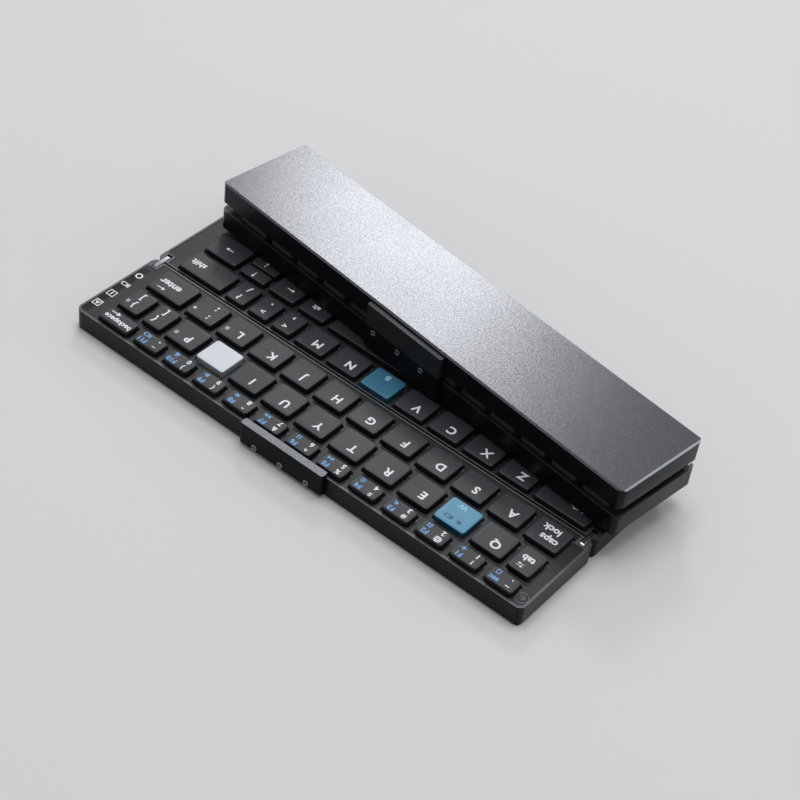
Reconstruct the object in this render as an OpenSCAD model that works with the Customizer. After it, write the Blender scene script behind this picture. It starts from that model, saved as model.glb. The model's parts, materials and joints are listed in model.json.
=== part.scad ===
// Folding keyboard: two aluminium leaves joined by double-pivot links, with sixty
// chiclet keys, and a second one of the same keyboard lying folded across it.
// Frame: x to the typist's right, y away from the typist, z up from the desk.
// The origin is the centre of the far leaf's underside. Lengths are in millimetres.

/* [Leaves] */
// Overall width of a leaf, left to right
body_w = 223; // [219:1:236]
// Depth of one leaf, front to back
leaf_d = 45.2; // [44.8:0.1:48]
// Height of one leaf, from the desk to its rim
leaf_t = 9.5; // [9.2:0.1:12]
// Thickness of the aluminium walls
wall = 1; // [0.8:0.1:1.2]
// Thickness of the aluminium floor
floor_t = 1.2; // [0.8:0.1:1.6]
// Radius of a leaf's corners, seen from above
corner_r = 3; // [1.5:0.5:4]
// Chamfer along the bottom edges
edge_chamfer = 0.7; // [0.3:0.1:1]

/* [Deck and boards] */
// Depth of the deck below the rim
deck_drop = 0.2; // [0.1:0.1:0.4]
// Thickness of the deck
deck_t = 1.4; // [1:0.1:1.6]
// Clearance between the deck and the walls
deck_fit = 0.1; // [0.05:0.05:0.2]
// Gap between a key and its well
well_gap = 0.5; // [0.4:0.05:0.6]
// Thickness of the switch sheet
sheet_t = 0.4; // [0.3:0.1:0.5]
// Thickness of the circuit boards
board_t = 1; // [0.8:0.1:1.2]
// Diameter of the contact dots under the keys
contact_d = 3; // [2:0.5:4]
// Diameter of the posts that carry the boards
post_d = 5; // [4:0.5:7]
// Distance from a leaf's end to its outer posts
post_inset = 16; // [12:1:24]
// Distance from the deck's edge to a board's edge
board_inset = 2; // [1.5:0.25:3]
// Width of the battery
battery_w = 120; // [80:5:150]
// Depth of the battery
battery_d = 30; // [20:1:34]
// Thickness of the battery
battery_t = 3; // [2:0.1:3.4]

/* [Keys] */
// Width of a letter key
key_w = 14.45; // [13.8:0.05:14.6]
// Gap between the keys of a row
key_gap = 2.55; // [2.3:0.05:2.6]
// Gap between two rows
row_gap = 2.95; // [2.6:0.05:3.1]
// Width of the tab key
tab_w = 10.1; // [9:0.1:10.6]
// Width of the caps key
caps_w = 14.75; // [13:0.1:15]
// Width of the enter key
enter_w = 18.7; // [16:0.1:19.5]
// Width of the left shift key
left_shift_w = 23.65; // [20:0.1:24]
// Width of the right shift key
right_shift_w = 23.45; // [20:0.05:25]
// Width of a narrow punctuation key
narrow_w = 9.9; // [8:0.1:10.2]
// Width of the closing bracket key
end_bracket_w = 10.9; // [9:0.1:12]
// Width of the backspace key
backspace_w = 15.92; // [12:0.02:18]
// Width of the right arrow key
end_arrow_w = 17.05; // [12:0.05:19]
// Width of a key in the bottom row
modifier_w = 13.45; // [12:0.1:13.8]
// Width of the space bar
space_w = 74.4; // [60:0.2:78]
// Depth of a full key, front to back
key_d = 13.2; // [12:0.1:13.4]
// Depth of the keys beside the hinge
hinge_row_d = 12.6; // [12:0.1:12.8]
// Depth of a number key
number_d = 7.4; // [6.5:0.1:7.6]
// Width of a number key
number_w = 12.6; // [11:0.1:13.2]
// Gap between number keys
number_gap = 3.24; // [2.8:0.02:3.4]
// Gap between the left keys' wells and the hinge corner
row_margin = 0.4; // [0.3:0.1:1]
// Gap between the right keys and the indicator strip
strip_margin = 6; // [4:0.5:8]
// Gap between a number key's well and the deck's edge
number_margin = 0.35; // [0.3:0.05:0.6]
// Gap between a key and the wall at the hinge
hinge_row_gap = 0.4; // [0.35:0.05:0.6]
// Gap between the up and down arrow keys
arrow_gap = 0.8; // [0.6:0.1:1.2]
// Height of a key above the deck
key_h = 2.2; // [1.8:0.1:2.6]
// Depth of a key's skirt below the deck
key_skirt = 0.4; // [0.3:0.1:0.6]
// Travel of a key
key_travel = 1.5; // [1:0.1:1.8]
// Radius of a key's corners
key_r = 1.3; // [0.6:0.1:1.8]
// Inward slope of a key's sides
key_slope = 0.25; // [0.1:0.05:0.4]
// Chamfer round a key's top
key_chamfer = 0.25; // [0.1:0.05:0.4]

/* [Hinge] */
// Gap between the open leaves
hinge_gap = 0.3; // [0.2:0.05:0.5]
// Depth of the pivots below the rim
pivot_drop = 1.3; // [1.2:0.05:1.6]
// Clearance between the keys of the folded leaves
fold_clear = 0.4; // [0.3:0.1:1]
// Radius of a link's round ends
link_r = 1.35; // [1.2:0.05:1.4]
// Thickness of a link
link_t = 1.8; // [1.4:0.1:2]
// Side clearance of a link in its slot
link_gap = 0.3; // [0.2:0.05:0.4]
// Distance from the leaf's end to the middle of a link
link_inset = 3.2; // [3:0.1:3.4]
// Radius of the hinge pins
pin_r = 0.6; // [0.5:0.05:0.7]
// Running clearance of a pin in its bore
pin_gap = 0.05; // [0.03:0.01:0.08]
// Wall between a link slot and the inside of its boss
boss_wall = 1.2; // [1:0.1:1.4]

/* [Clasp, port and button] */
// Width of the clasp block
clasp_w = 41; // [36:0.5:50]
// Distance the clasp stands out from the edge
clasp_out = 2.4; // [1:0.1:3]
// Distance between the contacts on the clasp
clasp_contact_pitch = 13; // [9:0.5:16]
// Height of the contacts on the clasp above the desk
clasp_contact_z = 2.9; // [2.7:0.1:6]
// Depth of the contacts in the clasp
clasp_contact_depth = 0.6; // [0.4:0.1:1]
// Radius of the clasp's upright corners
clasp_r = 0.8; // [0.4:0.1:1.2]
// Height of the clasp's underside above the desk
clasp_foot = 1.5; // [1.3:0.1:2]
// Diameter of the contacts on the clasp
clasp_contact_d = 2.2; // [1.5:0.1:3]
// Width of the indicator strip
strip_w = 3.4; // [2.6:0.1:3.6]
// Diameter of the power button
button_d = 3.6; // [3:0.1:3.8]
// Distance from the leaf's end to the middle of the power button
button_inset = 3.5; // [3.2:0.1:3.6]
// Travel of the power button
button_travel = 0.6; // [0.4:0.1:1]
// Width of the charging socket's shell
port_w = 8.94; // [8.9:0.02:9]
// Height of the charging socket's shell
port_h = 3.16; // [3.1:0.02:3.2]
// Length of the charging socket's shell
port_l = 7; // [6:0.5:8]

/* [Second keyboard] */
// Sideways place of the folded keyboard's middle
second_x = -7.4; // [-20:0.1:20]
// Front-to-back place of the folded keyboard's middle
second_y = -63.2; // [-64:0.1:-62]
// Turn of the folded keyboard
second_turn = -7.1; // [-9:0.1:0]
// Gap between the folded keyboard and what it lies on
second_gap = 0.3; // [0.2:0.05:0.5]

/* [Hidden] */
$fn = 32;

// Heights above the desk
deck_top = leaf_t - deck_drop;
deck_bottom = deck_top - deck_t;
key_foot = deck_top - key_skirt;
key_top = deck_top + key_h;
press_gap = 0.2;
sheet_top = key_foot - key_travel - press_gap;
board_top = sheet_top - sheet_t;
board_bottom = board_top - board_t;
contact_h = press_gap / 2;

// Hinge: two pivots, one in each leaf, at the same height when the keyboard is open
rim_gap = 2 * (key_top - leaf_t) + fold_clear;
pivot_half = rim_gap / 2 + pivot_drop;
pivot_z = leaf_t - pivot_drop;
hinge_y = -(leaf_d + hinge_gap) / 2;
far_pivot_y = hinge_y + pivot_half;
near_pivot_y = hinge_y - pivot_half;
near_y = 2 * hinge_y;
link_x = body_w / 2 - link_inset;
slot_w = link_t + 2 * link_gap;
slot_floor_z = pivot_z - link_r - link_gap;
boss_w = link_inset + slot_w / 2 + boss_wall;
boss_d = pivot_half - hinge_gap / 2 + link_r + link_gap + boss_wall / 2;
edge_round_r = pivot_half - hinge_gap / 2;
pin_sink = 0.2;
pin_l = boss_w - boss_wall / 2 - pin_sink;

// Inside of a leaf
cavity_w = body_w - 2 * wall;
cavity_d = leaf_d - 2 * wall;
deck_w = cavity_w - 2 * deck_fit;
deck_d = cavity_d - 2 * deck_fit;
post_x = body_w / 2 - post_inset;
post_y = leaf_d / 2 - wall - post_d / 2 + 0.2;
skirt_w = 0.6;
end_skirt_w = 2.6;

// Key rows: place of each row's middle, counted from the far leaf's middle
number_y = leaf_d / 2 - wall - deck_fit - well_gap - number_margin - number_d / 2;
upper_y = number_y - (number_d + key_d) / 2 - row_gap;
home_y = upper_y - key_d - row_gap;
lower_y = hinge_y - hinge_gap / 2 - wall - hinge_row_gap - hinge_row_d / 2;
space_y = lower_y - (hinge_row_d + key_d) / 2 - row_gap;
row_left = -body_w / 2 + boss_w + well_gap + row_margin;
row_len = body_w / 2 - wall - deck_fit - strip_w - strip_margin - row_left;
half_key_d = (key_d - arrow_gap) / 2;
plain_numbers = 12;

// The sum of a list's first n values
function sum_of_first(values, n) = n == 0 ? 0 : values[n - 1] + sum_of_first(values, n - 1);

// Widths shared out so that a row of keys with this gap fills the row's length
function filled(widths, gap) =
    let (share = (row_len - (len(widths) - 1) * gap) / sum_of_first(widths, len(widths)))
    [for (w = widths) w * share];

// A row of keys, side by side over the row's length; each key is [name, x, y, width, depth]
function key_row(names, widths, gap, y, depth) =
    let (w = filled(widths, gap))
    [for (i = [0:len(names) - 1])
        [names[i], row_left + sum_of_first(w, i) + i * gap + w[i] / 2, y, w[i], depth]];

// n copies of a value
function copies(n, value) = [for (i = [1:n]) value];

// The keys of a list that have a given name
function named(keys, name) = [for (k = keys) if (k[0] == name) k];

NUMBER_KEYS = key_row(
    copies(plain_numbers + 1, "number"), concat(copies(plain_numbers, number_w), [backspace_w]),
    number_gap, number_y, number_d);
UPPER_KEYS = key_row(
    ["tab", "q", "w", "e", "r", "t", "y", "u", "i", "o", "p", "bracket", "bracket"],
    concat([tab_w], copies(10, key_w), [narrow_w, end_bracket_w]), key_gap, upper_y, key_d);
HOME_KEYS = key_row(
    ["caps", "a", "s", "d", "f", "g", "h", "j", "k", "l", "bracket", "enter"],
    concat([caps_w], copies(10, key_w), [enter_w]), key_gap, home_y, key_d);
LOWER_KEYS = key_row(
    ["left_shift", "z", "x", "c", "v", "b", "n", "m", "mark", "mark", "mark", "right_shift"],
    concat([left_shift_w], copies(7, key_w), copies(3, narrow_w), [right_shift_w]),
    key_gap, lower_y, hinge_row_d);
SPACE_ROW = key_row(
    ["left_modifier", "left_modifier", "left_modifier", "left_modifier", "space",
     "right_modifier", "right_modifier", "up_down", "right_modifier"],
    concat(copies(4, modifier_w), [space_w], copies(3, modifier_w), [end_arrow_w]),
    key_gap, space_y, key_d);
// The up and down arrows share one place in the bottom row, one above the other
UP_DOWN_KEYS = [for (k = named(SPACE_ROW, "up_down"), side = [-1, 1])
    ["right_modifier", k[1], k[2] + side * (half_key_d + arrow_gap) / 2, k[3], half_key_d]];
SPACE_KEYS = concat([for (k = SPACE_ROW) if (k[0] != "up_down") k], UP_DOWN_KEYS);
FAR_KEYS = concat(NUMBER_KEYS, UPPER_KEYS, HOME_KEYS);
NEAR_KEYS = concat(LOWER_KEYS, SPACE_KEYS);
GROUPED = ["number", "bracket", "mark", "left_modifier", "right_modifier"];
OWN_KEYS = [for (k = concat(FAR_KEYS, NEAR_KEYS)) if (len([for (g = GROUPED) if (g == k[0]) g]) == 0) k];

// Small pieces
clasp_d = clasp_out + wall;
strip_x = body_w / 2 - wall - deck_fit - strip_w / 2;
strip_t = 0.6;
strip_l = deck_d - boss_d - 2;
strip_y = boss_d / 2;
button_x = -body_w / 2 + button_inset;
button_y = number_y + 0.4;
button_fit = 0.15;
port_y = 2;
port_z = board_bottom - port_h / 2;
port_wall = 0.3;
port_fit = 0.05;
tongue_t = 0.7;
tongue_inset = 1.1;

// A rectangle with round corners, centred
module round_rect(w, d, r) {
    square([w - 2 * r, d], center = true);
    square([w, d - 2 * r], center = true);
    for (x = [-1, 1], y = [-1, 1])
        translate([x * (w / 2 - r), y * (d / 2 - r)]) circle(r);
}

// A profile drawn in y and z, carried along x
module along_x(length) {
    rotate([90, 0, 90]) linear_extrude(length, center = true) children();
}

// A profile drawn in x and z, carried along y
module along_y(length) {
    rotate([90, 0, 0]) linear_extrude(length, center = true) children();
}

// A rectangle from z = 0 up to h whose bottom corners are cut by c
module low_chamfer(w, h, c) {
    polygon([[-w / 2 + c, 0], [w / 2 - c, 0], [w / 2, c], [w / 2, h], [-w / 2, h], [-w / 2, c]]);
}

// A leaf's outer block: three extrusions that cross, which gives it its chamfers
module leaf_block() {
    intersection() {
        linear_extrude(leaf_t) round_rect(body_w, leaf_d, corner_r);
        along_x(body_w) low_chamfer(leaf_d, leaf_t, edge_chamfer);
        along_y(leaf_d) low_chamfer(body_w, leaf_t, edge_chamfer);
    }
}

// The blocks at a leaf's hinge corners, which hold the link pivots
module hinge_bosses(clear = 0) {
    for (side = [-1, 1])
        translate([side * (body_w / 2 - boss_w / 2), -leaf_d / 2 + boss_d / 2, (leaf_t + edge_chamfer) / 2])
            cube([boss_w + 2 * clear, boss_d + 2 * clear, leaf_t - edge_chamfer + 2 * clear], center = true);
}

// The pin bores and link slots of the hinge corners
module hinge_cuts() {
    slot_d = edge_round_r + link_r + link_gap;
    for (side = [-1, 1]) {
        translate([side * link_x, -leaf_d / 2 + slot_d / 2 - 1, slot_floor_z + leaf_t / 2])
            cube([slot_w, slot_d + 2, leaf_t], center = true);
        translate([side * (body_w / 2 - pin_l / 2 - pin_sink), -leaf_d / 2 + edge_round_r, pivot_z])
            rotate([0, 90, 0])
                cylinder(r = pin_r + pin_gap, h = pin_l + 2 * pin_sink + 0.1, center = true);
    }
}

// What is cut off a leaf's hinge edge so that it can turn about its pivot
module hinge_edge_cut() {
    corner = edge_round_r;
    difference() {
        translate([0, -leaf_d / 2 + corner / 2 - 1, pivot_z + corner / 2])
            cube([body_w + 2, corner + 2, corner], center = true);
        translate([0, -leaf_d / 2 + corner, pivot_z])
            rotate([0, 90, 0]) cylinder(r = edge_round_r, h = body_w + 4, center = true, $fn = 64);
    }
}

// An aluminium leaf with its hinge on the -y side, before its own cuts
module leaf_shell() {
    difference() {
        union() {
            difference() {
                leaf_block();
                translate([0, 0, floor_t])
                    linear_extrude(leaf_t) round_rect(cavity_w, cavity_d, corner_r - wall);
            }
            intersection() {
                leaf_block();
                hinge_bosses();
            }
            for (x = [-post_x, 0, post_x], y = [-post_y, post_y])
                translate([x, y, floor_t / 2])
                    cylinder(d = post_d, h = board_bottom - floor_t / 2);
        }
        hinge_cuts();
        hinge_edge_cut();
    }
}

// Moves the hinge side of a leaf from -y to +y and puts the leaf in its place
module as_near_leaf() {
    translate([0, near_y, 0]) rotate(180) children();
}

// The notch in a leaf's outer edge that holds a clasp piece
module clasp_notch(z_foot) {
    translate([0, leaf_d / 2, (z_foot + key_top) / 2])
        cube([clasp_w + 2 * deck_fit, 2 * wall, key_top - z_foot], center = true);
}

module far_cover() {
    color("silver") difference() {
        leaf_shell();
        clasp_notch(clasp_foot);
        translate([body_w / 2, port_y, port_z]) rotate([90, 0, 90])
            linear_extrude(4 * wall, center = true)
                round_rect(port_w + 2 * port_fit, port_h + 2 * port_fit, port_h / 2);
    }
}

module near_cover() {
    color("silver") as_near_leaf() difference() {
        leaf_shell();
        clasp_notch(clasp_foot);
    }
}

// The wells of a list of keys
module wells(keys) {
    for (k = keys)
        translate([k[1], k[2], deck_bottom - deck_t])
            linear_extrude(4 * deck_t) round_rect(k[3] + 2 * well_gap, k[4] + 2 * well_gap, key_r + well_gap);
}

// A deck plate with a low skirt that stands on the switch sheet
module deck_plate() {
    difference() {
        union() {
            translate([0, 0, deck_bottom])
                linear_extrude(deck_t) round_rect(deck_w, deck_d, corner_r - wall);
            difference() {
                translate([0, 0, sheet_top])
                    linear_extrude(deck_t) round_rect(deck_w, deck_d, corner_r - wall);
                translate([0, 0, sheet_top - 1])
                    linear_extrude(deck_t + 2)
                        square([deck_w - 2 * end_skirt_w, deck_d - 2 * skirt_w], center = true);
            }
        }
        hinge_bosses(deck_fit);
    }
}

module far_deck() {
    color("dimgray") difference() {
        deck_plate();
        wells(FAR_KEYS);
        clasp_notch(0);
        translate([strip_x, strip_y, deck_top])
            cube([strip_w + deck_fit, strip_l + deck_fit, 2 * strip_t], center = true);
        translate([button_x, button_y, 0]) cylinder(d = button_d + 2 * button_fit, h = leaf_t + 1);
    }
}

module near_deck() {
    color("dimgray") difference() {
        as_near_leaf() difference() {
            deck_plate();
            clasp_notch(0);
        }
        wells(NEAR_KEYS);
    }
}

// A board outline with its corners cut back from the hinge bosses
module board_outline() {
    difference() {
        square([cavity_w - 2 * board_inset, cavity_d - 2 * board_inset], center = true);
        for (side = [-1, 1])
            translate([side * body_w / 2, -leaf_d / 2])
                square([2 * boss_w + 1, 2 * boss_d + 1], center = true);
    }
}

module board() {
    translate([0, 0, board_bottom]) linear_extrude(board_t) board_outline();
}

module switch_sheet() {
    translate([0, 0, board_top]) linear_extrude(sheet_t) board_outline();
}

// One low contact dot under the middle of each key
module contact_dots(keys) {
    for (k = keys)
        translate([k[1], k[2], board_top + sheet_t / 2])
            cylinder(d = contact_d, h = sheet_t / 2 + contact_h, $fn = 16);
}

module far_board() {
    color("darkgreen") board();
}

module near_board() {
    color("darkgreen") as_near_leaf() board();
}

module far_switch_sheet() {
    color("ivory") {
        switch_sheet();
        contact_dots(FAR_KEYS);
    }
}

module near_switch_sheet() {
    color("ivory") {
        as_near_leaf() switch_sheet();
        contact_dots(NEAR_KEYS);
    }
}

module battery() {
    color("slategray") as_near_leaf()
        translate([battery_w / 2 - post_x + post_d, 0, floor_t + battery_t / 2])
            cube([battery_w, battery_d, battery_t], center = true);
}

// A clasp piece: a bar in the notch of the leaf's outer edge, as high as the keys
module clasp_bar() {
    translate([0, leaf_d / 2 - wall + clasp_d / 2, clasp_foot])
        linear_extrude(key_top - clasp_foot) round_rect(clasp_w, clasp_d, clasp_r);
}

module clasp_block() {
    color("#2b2c2e") difference() {
        clasp_bar();
        clasp_contact_shapes();
    }
}

// The three contacts on the clasp's outer face
module clasp_contact_shapes() {
    for (x = [-1, 0, 1])
        translate([x * clasp_contact_pitch, leaf_d / 2 + clasp_out, clasp_contact_z])
            rotate([90, 0, 0])
                cylinder(d = clasp_contact_d, h = 2 * clasp_contact_depth, center = true);
}

module clasp_contacts() {
    color("lightgray") intersection() {
        clasp_contact_shapes();
        clasp_bar();
    }
}

module clasp_keeper() {
    color("#2b2c2e") as_near_leaf() clasp_bar();
}

// A link: two round ends joined by a bar, lying along y, bored for its pins
module hinge_links() {
    color("gainsboro") for (side = [-1, 1])
        translate([side * link_x, hinge_y, pivot_z]) along_x(link_t) difference() {
            union() {
                for (end = [-1, 1]) translate([end * pivot_half, 0]) circle(link_r);
                square([2 * pivot_half, 2 * link_r], center = true);
            }
            for (end = [-1, 1]) translate([end * pivot_half, 0]) circle(pin_r);
        }
}

module hinge_pins() {
    color("gray") for (side = [-1, 1], y = [far_pivot_y, near_pivot_y])
        translate([side * (body_w / 2 - pin_sink - pin_l / 2), y, pivot_z])
            rotate([0, 90, 0]) cylinder(r = pin_r, h = pin_l, center = true);
}

module indicator_strip() {
    color("#26272a") translate([strip_x, strip_y, deck_top - strip_t])
        linear_extrude(strip_t) square([strip_w, strip_l], center = true);
}

module power_button() {
    color("#3a3b3e") translate([button_x, button_y, 0]) {
        translate([0, 0, sheet_top + button_travel + press_gap])
            cylinder(d = button_d, h = deck_top + 0.2 - sheet_top - button_travel - press_gap);
    }
}

// The charging socket: a shell with a tongue inside
module charge_port() {
    color("lightgray") translate([body_w / 2 - 0.1, port_y, port_z]) rotate([90, 0, -90]) {
        difference() {
            linear_extrude(port_l) round_rect(port_w, port_h, port_h / 2 - 0.01);
            translate([0, 0, -1])
                linear_extrude(port_l)
                    round_rect(port_w - 2 * port_wall, port_h - 2 * port_wall, port_h / 2 - port_wall - 0.01);
        }
        translate([0, 0, port_l / 2]) cube([port_w - 2 * tongue_inset, tongue_t, port_l - 1], center = true);
    }
}

// A keycap with round corners, sloping sides and a chamfered top
module keycap(k) {
    w = k[3];
    d = k[4];
    h = key_top - key_foot;
    module side_profile(width) {
        top_half = width / 2 - key_slope;
        polygon([[-width / 2, 0], [width / 2, 0], [top_half, h - key_chamfer],
                 [top_half - key_chamfer, h], [-top_half + key_chamfer, h],
                 [-top_half, h - key_chamfer]]);
    }
    translate([k[1], k[2], key_foot]) intersection() {
        linear_extrude(h) round_rect(w, d, key_r);
        along_x(w) side_profile(d);
        along_y(d) side_profile(w);
    }
}

module key_group(keys) {
    for (k = keys) keycap(k);
}

module number_keys() {
    color("#343538") key_group(NUMBER_KEYS);
}

module bracket_keys() {
    color("#343538") key_group(named(FAR_KEYS, "bracket"));
}

module low_punctuation_keys() {
    color("#343538") key_group(named(NEAR_KEYS, "mark"));
}

module left_modifier_keys() {
    color("#343538") key_group(named(NEAR_KEYS, "left_modifier"));
}

module right_modifier_keys() {
    color("#343538") key_group(named(NEAR_KEYS, "right_modifier"));
}

function key_colour(name) = name == "o" ? "whitesmoke" : name == "w" || name == "b" ? "#64a5c3" : "#343538";

module own_key(k) {
    color(key_colour(k[0])) keycap(k);
}

// Puts a piece of the second keyboard in its place: turned, on top of the open one
module second_place() {
    translate([second_x, second_y, key_top + second_gap]) rotate(second_turn) children();
}

// Turns a near-leaf piece by half a turn about the middle of the closed hinge
module folded_near() {
    translate([0, hinge_y, pivot_z + pivot_half]) rotate([180, 0, 0])
        translate([0, -hinge_y, -pivot_z - pivot_half]) children();
}

// Turns the links by a quarter turn about the far pivots
module folded_links() {
    translate([0, far_pivot_y, pivot_z]) rotate([-90, 0, 0])
        translate([0, -far_pivot_y, -pivot_z]) children();
}

// A deck and its keys in one piece, for the keyboard whose keys don't travel
module keyset_solid(keys) {
    for (k = keys)
        translate([k[1], k[2], deck_bottom])
            linear_extrude(key_foot - deck_bottom) round_rect(k[3], k[4], key_r);
    key_group(keys);
}

module second_far_cover() {
    color("silver") second_place() far_cover();
}

module second_near_cover() {
    color("silver") second_place() folded_near() near_cover();
}

module second_far_keyset() {
    color("dimgray") second_place() {
        deck_plate_closed();
        keyset_solid(FAR_KEYS);
    }
}

module second_near_keyset() {
    color("dimgray") second_place() folded_near() {
        as_near_leaf() {
            deck_plate_closed();
            clasp_bar();
        }
        keyset_solid(NEAR_KEYS);
    }
}

// A deck without wells
module deck_plate_closed() {
    difference() {
        deck_plate();
        clasp_notch(0);
    }
}

module second_fittings() {
    color("#2b2c2e") second_place() {
        clasp_bar();
        charge_port();
    }
}

module second_links() {
    color("gainsboro") second_place() folded_links() {
        hinge_links();
        hinge_pins();
    }
}

far_cover();
near_cover();
far_deck();
near_deck();
far_board();
near_board();
far_switch_sheet();
near_switch_sheet();
battery();
clasp_block();
clasp_contacts();
clasp_keeper();
hinge_links();
hinge_pins();
indicator_strip();
power_button();
charge_port();
number_keys();
bracket_keys();
low_punctuation_keys();
left_modifier_keys();
right_modifier_keys();
for (k = OWN_KEYS)
    own_key(k);
second_far_cover();
second_near_cover();
second_far_keyset();
second_near_keyset();
second_fittings();
second_links();
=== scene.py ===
"""Two folding pocket keyboards, one open and one folded across it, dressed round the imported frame.

Frame: x to the typist's right, y away from the typist, z up from the desk, in metres.
Layout numbers below are in millimetres and repeat the solids' own values.
"""
import json
import math

import bmesh
import bpy
import numpy as np
from mathutils import Euler, Matrix, Vector


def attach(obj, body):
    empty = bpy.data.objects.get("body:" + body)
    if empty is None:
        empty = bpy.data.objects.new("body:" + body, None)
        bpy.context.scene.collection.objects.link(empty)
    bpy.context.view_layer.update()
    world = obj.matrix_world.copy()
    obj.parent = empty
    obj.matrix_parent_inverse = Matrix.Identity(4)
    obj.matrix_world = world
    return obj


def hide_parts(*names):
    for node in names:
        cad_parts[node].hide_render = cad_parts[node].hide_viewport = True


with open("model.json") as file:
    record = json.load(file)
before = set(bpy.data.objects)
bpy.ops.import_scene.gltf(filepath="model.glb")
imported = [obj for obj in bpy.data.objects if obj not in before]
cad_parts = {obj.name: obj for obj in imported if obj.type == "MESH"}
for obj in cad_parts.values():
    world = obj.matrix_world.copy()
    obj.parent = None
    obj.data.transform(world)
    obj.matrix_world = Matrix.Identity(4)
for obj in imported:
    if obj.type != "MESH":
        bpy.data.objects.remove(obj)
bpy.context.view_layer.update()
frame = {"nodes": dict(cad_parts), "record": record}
nodes = frame["nodes"]
BODY_OF = {n: b for b, members in frame["record"]["behaviour"]["bodies"].items() for n in members}

MM = 0.001

# ---------------------------------------------------------------- layout, mm
DECK_TOP, KEY_TOP, KEY_FOOT = 9.3, 11.5, 8.9
KEY_R, CAP_ROUND, CAP_SLOPE, CAP_RIM = 1.3, 0.38, 0.20, 1.6
ROW_LEFT = -105.0
KEY_W, KEY_GAP, KEY_D, HINGE_ROW_D, NUMBER_D = 14.45, 2.55, 13.2, 12.6, 7.4
NUMBER_W, NUMBER_GAP, MODIFIER_W, NARROW_W = 12.6, 3.24, 13.45, 9.9
BACKSPACE_W, TAB_W, BRACKET_W, CAPS_W, ENTER_W = 15.92, 10.1, 10.9, 14.75, 18.7
LEFT_SHIFT_W, RIGHT_SHIFT_W, SPACE_W, RIGHT_ARROW_W = 23.65, 23.45, 74.4, 17.05
NUMBER_Y, UPPER_Y, HOME_Y, LOWER_Y, SPACE_Y = 16.95, 3.7, -12.45, -30.6, -46.45
ARROW_GAP = 0.8
HINGE_Y, PIVOT_Z, PIVOT_HALF = -22.75, 8.2, 3.5
CLASP_FACE_Y, CLASP_CONTACTS = 25.0, [(-13.0, 2.9), (0.0, 2.9), (13.0, 2.9)]
SECOND_CONTACTS = [(-11.1, 9.6), (1.9, 9.6), (15.7, 9.6)]
SIGN_X = 108.2
BUTTON_X, BUTTON_Y, BUTTON_R, BUTTON_TOP, BUTTON_FOOT = -108.0, 17.35, 1.8, 9.5, 7.9
BEZEL_R, BEZEL_HALF, BEZEL_RISE = 2.30, 0.16, 0.12
STUD_R, STUD_HALF, STUD_RISE, STUD_OUT = 1.00, 0.34, 0.18, 1.34
PIN_X, PIN_R, PIN_HALF = 108.9, 0.6, 2.4
PORT_Y, PORT_Z, TONGUE_W, TONGUE_H = 2.0, 4.22, 7.0, 0.84
COVER_BEVEL, DECK_BEVEL, STRIP_BEVEL, KEYSET_BEVEL = 0.14, 0.12, 0.14, 0.2
CLASP_BEVEL, PORT_BEVEL, LINK_BEVEL = 0.3, 0.06, 0.28
SECOND_X, SECOND_Y, SECOND_Z, SECOND_TURN = -7.4, -63.2, 11.8, math.radians(-7.1)


def key_row(names, widths, gap, y, depth):
    """Places a row of keys side by side from ROW_LEFT; each key is (name, x, y, width, depth)."""
    lefts = ROW_LEFT + np.concatenate([[0], np.cumsum(np.array(widths) + gap)[:-1]])
    return [(n, left + w / 2, y, w, depth) for n, left, w in zip(names, lefts, widths)]


number_row = key_row([f"number_{i}" for i in range(13)],
                     [NUMBER_W] * 12 + [BACKSPACE_W], NUMBER_GAP, NUMBER_Y, NUMBER_D)
upper_row = key_row(["tab", *"qwertyuiop", "open_bracket", "close_bracket"],
                    [TAB_W] + [KEY_W] * 10 + [NARROW_W, BRACKET_W], KEY_GAP, UPPER_Y, KEY_D)
home_row = key_row(["caps", *"asdfghjkl", "semicolon", "enter"],
                   [CAPS_W] + [KEY_W] * 10 + [ENTER_W], KEY_GAP, HOME_Y, KEY_D)
lower_row = key_row(["left_shift", *"zxcvbnm", "comma", "period", "slash", "right_shift"],
                    [LEFT_SHIFT_W] + [KEY_W] * 7 + [NARROW_W] * 3 + [RIGHT_SHIFT_W],
                    KEY_GAP, LOWER_Y, HINGE_ROW_D)
space_row = key_row(["fn", "ctrl", "cmd", "alt", "space",
                     "right_alt", "left_arrow", "up_down", "right_arrow"],
                    [MODIFIER_W] * 4 + [SPACE_W] + [MODIFIER_W] * 3 + [RIGHT_ARROW_W],
                    KEY_GAP, SPACE_Y, KEY_D)
half_d = (KEY_D - ARROW_GAP) / 2
up_down = next(k for k in space_row if k[0] == "up_down")
arrows = [(name, up_down[1], SPACE_Y + side * (half_d + ARROW_GAP) / 2, up_down[3], half_d)
          for name, side in (("up_arrow", 1), ("down_arrow", -1))]

far_keys = number_row + upper_row + home_row
near_keys = lower_row + [k for k in space_row if k[0] != "up_down"] + arrows
KEYS = {k[0]: k[1:] for k in far_keys + near_keys}

GROUPS = {
    "number_keys": [k[0] for k in number_row],
    "bracket_keys": ["open_bracket", "close_bracket", "semicolon"],
    "low_punctuation_keys": ["comma", "period", "slash"],
    "left_modifier_keys": ["fn", "ctrl", "cmd", "alt"],
    "right_modifier_keys": ["right_alt", "left_arrow", "right_arrow", "up_arrow", "down_arrow"],
}
grouped = {name for names in GROUPS.values() for name in names}
KEY_NODES = dict(GROUPS, **{f"key_{name}": [name] for name in KEYS if name not in grouped})


def here(points):
    """The open keyboard's own place: the points as they are."""
    return points


def second(points):
    """Turns points by SECOND_TURN about z and moves them to the second keyboard's place."""
    c, s = math.cos(SECOND_TURN), math.sin(SECOND_TURN)
    x, y, z = points.T
    return np.column_stack([SECOND_X + c * x - s * y, SECOND_Y + s * x + c * y, SECOND_Z + z])


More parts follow.
